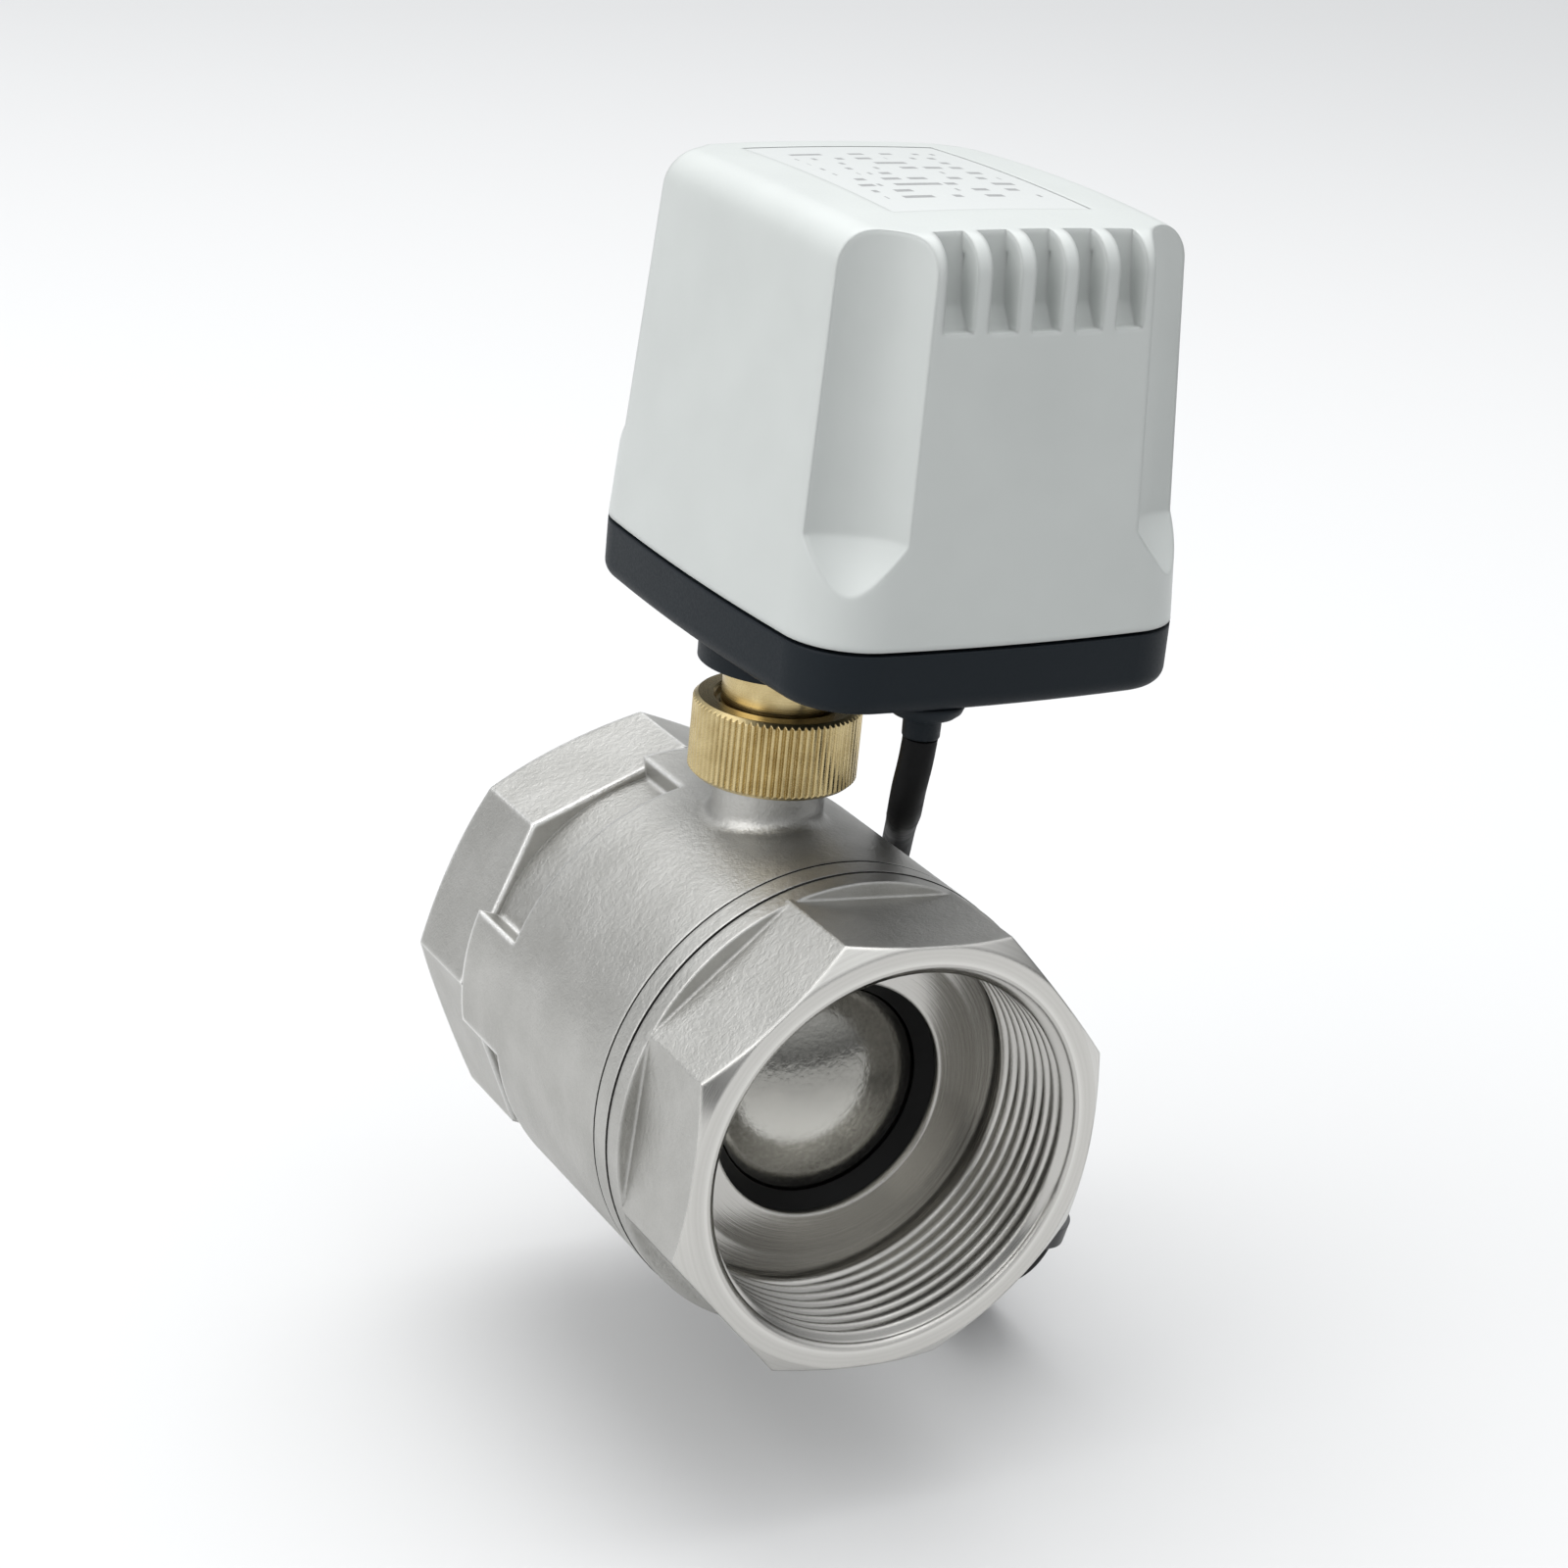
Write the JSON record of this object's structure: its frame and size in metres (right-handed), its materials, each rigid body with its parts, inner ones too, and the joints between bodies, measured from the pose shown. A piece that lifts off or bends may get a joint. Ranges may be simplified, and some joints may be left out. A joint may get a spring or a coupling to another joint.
{
  "type": "motorized ball valve",
  "caption": "Motorized ball valve with threaded octagonal ends, a knurled union nut and a geared actuator under a rounded, vented cover, with a coiled lead.",
  "frame": {"origin": "where the pipe axis and the stem axis cross, at the middle of the ball", "axes": "+Y along the pipe axis from the end cap's port to the body's own port, +Z along the stem up to the actuator, +X towards the side to which the actuator reaches further"},
  "size_m": [0.0954, 0.1002, 0.1891],
  "materials": {
    "cast_steel": "shot-blasted satin",
    "polished_steel": "polished",
    "machined_steel": "turned",
    "plate_steel": "zinc plated",
    "brass": "turned",
    "seat_polymer": "matte black",
    "seal_white": "matte",
    "seal_rubber": "matte",
    "base_plastic": "fine matte",
    "cover_plastic": "satin",
    "label": "satin, bare",
    "nylon": "moulded",
    "switch_plastic": "moulded",
    "plunger_plastic": "moulded",
    "board": "solder mask",
    "dark_part": "moulded",
    "relay_plastic": "moulded",
    "terminal_plastic": "moulded",
    "cable_jacket": "matte",
    "core_plastic": "extruded",
    "copper": "bare strands",
    "tie_plastic": "matte"
  },
  "bodies": {
    "valve": {"valve_body": "cast_steel", "valve_port_end": "cast_steel", "end_cap": "cast_steel", "body_gasket": "seal_white", "seat_front": "seat_polymer", "seat_rear": "seat_polymer", "stem_washer": "seal_white", "stem_packing": "seal_white", "packing_gland": "brass", "mounting_collar": "brass", "base_housing": "base_plastic", "cover": "cover_plastic", "cover_gasket": "seal_rubber", "cover_screws": "plate_steel", "label_panel": "label", "lower_gear_plate": "plate_steel", "upper_gear_plate": "plate_steel", "lower_shaft_bush": "brass", "upper_shaft_bush": "brass", "plate_pillars": "machined_steel", "gear_axles": "machined_steel", "motor": "plate_steel", "motor_screws": "plate_steel", "limit_switch_closed": "switch_plastic", "limit_switch_open": "switch_plastic", "switch_posts": "machined_steel", "circuit_board": "board", "board_standoffs": "machined_steel", "capacitor": "dark_part", "relay": "relay_plastic", "control_chip": "dark_part", "terminal_block": "terminal_plastic", "cable_gland": "base_plastic", "cable": "cable_jacket", "cable_entry": "cable_jacket", "cable_coil": "cable_jacket", "coil_tie": "tie_plastic", "core_wires": "core_plastic", "core_tips": "copper"},
    "ball_drive": {"ball": "polished_steel", "stem": "machined_steel", "output_shaft": "machined_steel", "output_gear": "machined_steel", "limit_cam": "dark_part"},
    "gear_c": {"gear_c": "nylon"},
    "gear_b": {"gear_b": "nylon"},
    "gear_a": {"gear_a": "nylon"},
    "motor_pinion": {"motor_pinion": "brass"},
    "slip_ring": {"slip_ring": "seal_white"},
    "union_nut": {"union_nut": "brass"},
    "plunger_closed": {"switch_plunger_closed": "plunger_plastic"},
    "plunger_open": {"switch_plunger_open": "plunger_plastic"}
  },
  "joints": [
    {"name": "ball_turn", "type": "hinge", "parent": "valve", "child": "ball_drive", "pos_m": [0, 0, 0], "axis": [0, 0, 1], "range_deg": [0, 90]},
    {"name": "gear_c_turn", "type": "hinge", "parent": "valve", "child": "gear_c", "pos_m": [0.016, -0.0088, 0.078], "axis": [0, 0, 1], "range_deg": [-245, 0]},
    {"name": "gear_b_turn", "type": "hinge", "parent": "valve", "child": "gear_b", "pos_m": [0.0303, 0.00014, 0.082], "axis": [0, 0, 1], "range_deg": [0, 732.8]},
    {"name": "gear_a_turn", "type": "hinge", "parent": "valve", "child": "gear_a", "pos_m": [0.02447, 0.01348, 0.086], "axis": [0, 0, 1], "range_deg": [-2305, 0]},
    {"name": "motor_turn", "type": "hinge", "parent": "valve", "child": "motor_pinion", "pos_m": [0.01195, 0.01988, 0.09], "axis": [0, 0, 1], "range_deg": [0, 8447]},
    {"name": "nut_rise", "type": "slide", "parent": "valve", "child": "slip_ring", "axis": [0, 0, 1], "range_m": [0, 0.0046]},
    {"name": "nut_turn", "type": "hinge", "parent": "slip_ring", "child": "union_nut", "pos_m": [0, 0, 0.0477], "axis": [0, 0, 1], "range_deg": [0, 1080]},
    {"name": "plunger_closed_press", "type": "slide", "parent": "valve", "child": "plunger_closed", "axis": [0, -1, 0], "range_m": [0, 0.0008], "stiffness_N_per_m": 200},
    {"name": "plunger_open_press", "type": "slide", "parent": "valve", "child": "plunger_open", "axis": [0, -1, 0], "range_m": [0, 0.0008], "stiffness_N_per_m": 200}
  ],
  "couplings": [
    {"joint": "ball_turn", "follows": "gear_b_turn", "ratio": 0.12281},
    {"joint": "gear_c_turn", "follows": "gear_b_turn", "ratio": -0.33333},
    {"joint": "gear_a_turn", "follows": "gear_b_turn", "ratio": -3.1429},
    {"joint": "motor_turn", "follows": "gear_b_turn", "ratio": 11.524},
    {"joint": "nut_rise", "follows": "nut_turn", "m_per_rad": 0.00023873}
  ]
}
